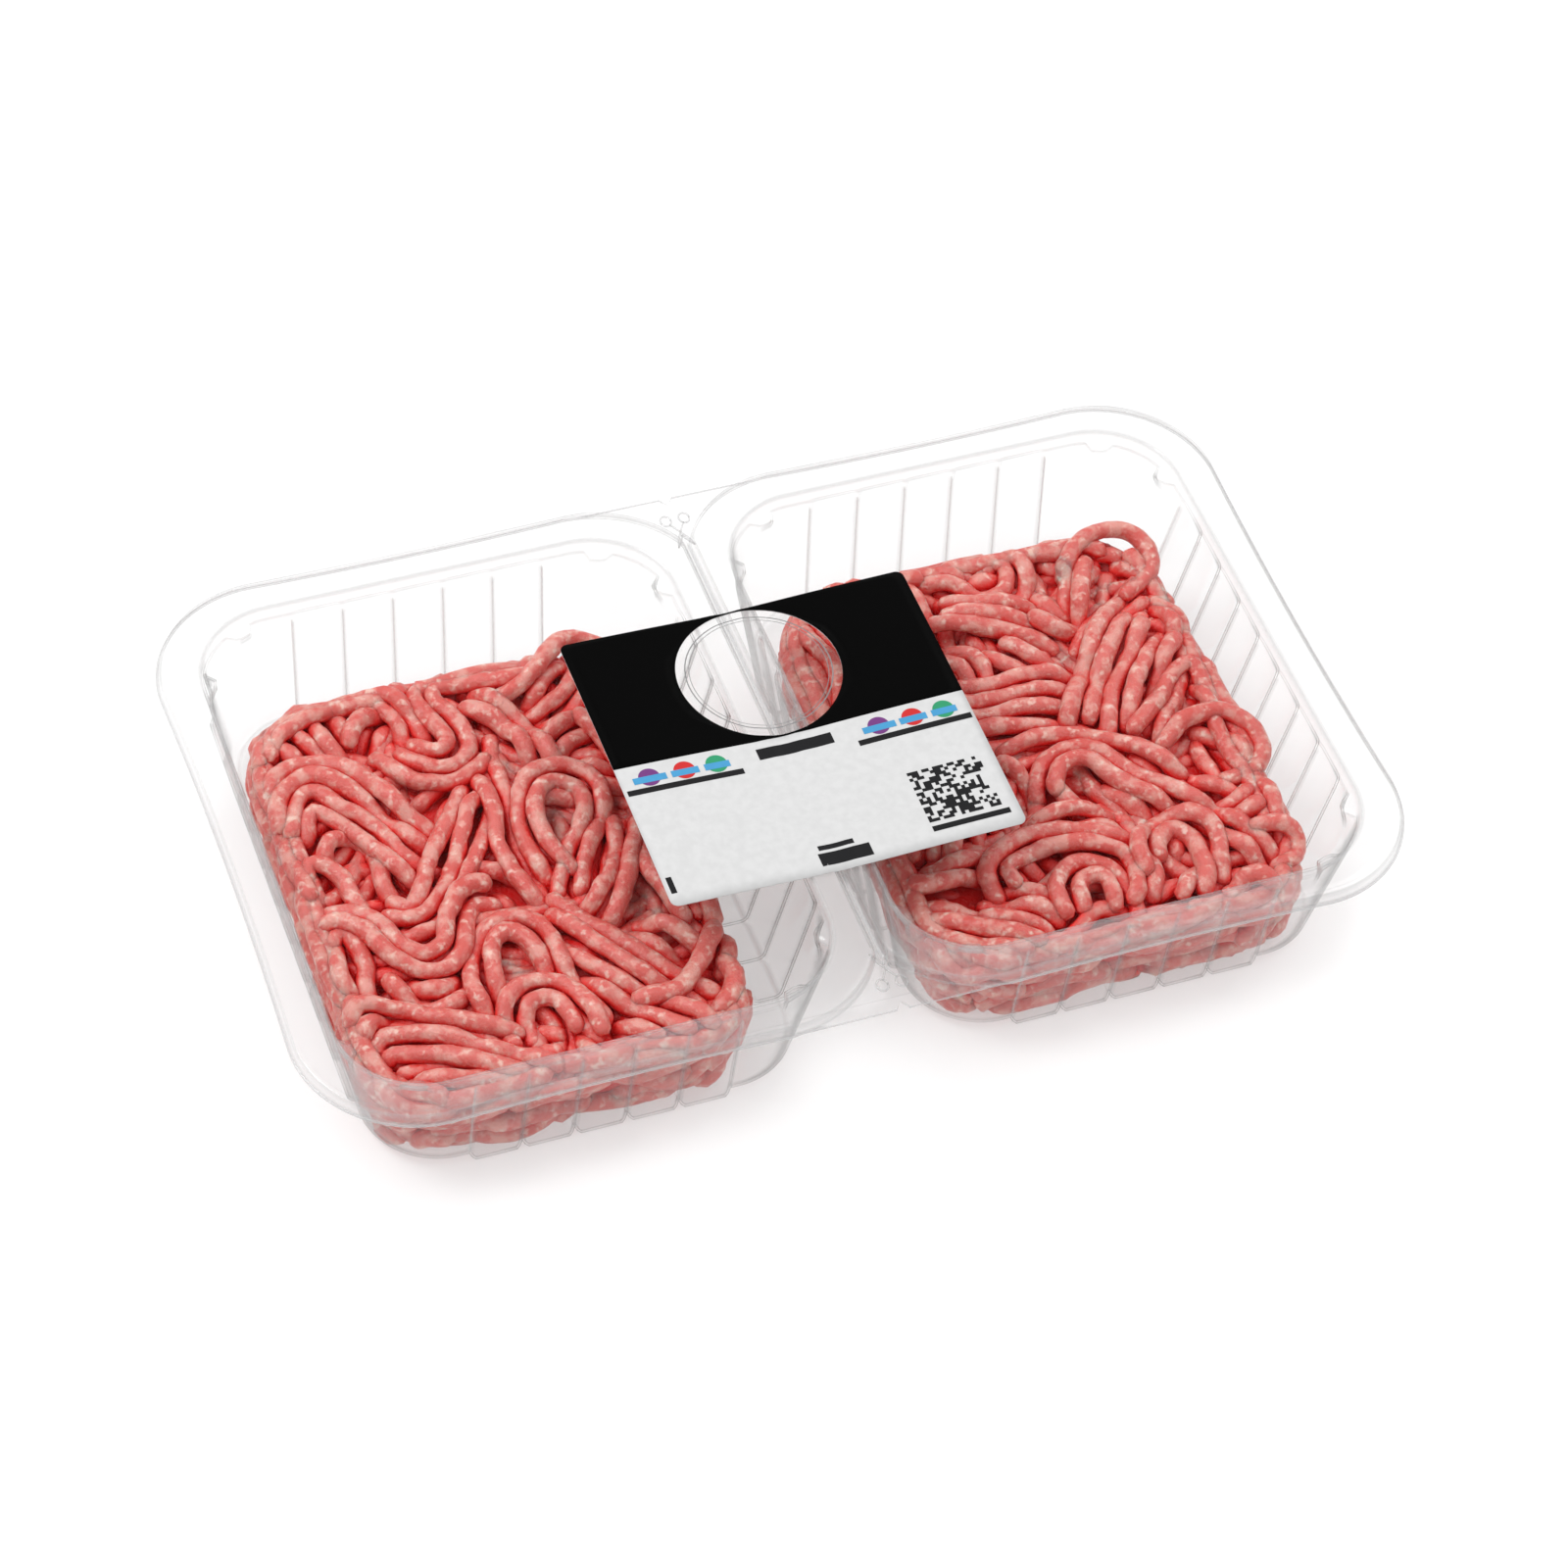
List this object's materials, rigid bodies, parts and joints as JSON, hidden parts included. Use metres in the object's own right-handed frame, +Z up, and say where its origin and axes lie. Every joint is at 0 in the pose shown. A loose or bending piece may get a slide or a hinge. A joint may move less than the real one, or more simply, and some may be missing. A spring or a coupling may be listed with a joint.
{
  "type": "twin tray pack of minced meat",
  "caption": "Sealed clear twin tray of minced meat: two ribbed rounded cells joined by a web, a heap of mince strands in each, a domed clear film over both and a square label across the middle.",
  "frame": {"origin": "on the ground under the middle of the pack", "axes": "+X along the pack from the left cell to the right cell, +Y from its front side to its rear side, +Z up"},
  "size_m": [0.3112, 0.1908, 0.0471],
  "materials": {
    "clear_plastic": "clear thin moulded plastic sheet",
    "clear_film": "clear glossy film",
    "mince": "moist raw mince, soft sheen",
    "label_face": "satin label with plain fields of colour"
  },
  "bodies": {
    "root": {"tray": "clear_plastic", "mince_left": "mince", "mince_right": "mince", "lid_film": "clear_film", "label": "label_face"}
  },
  "joints": []
}
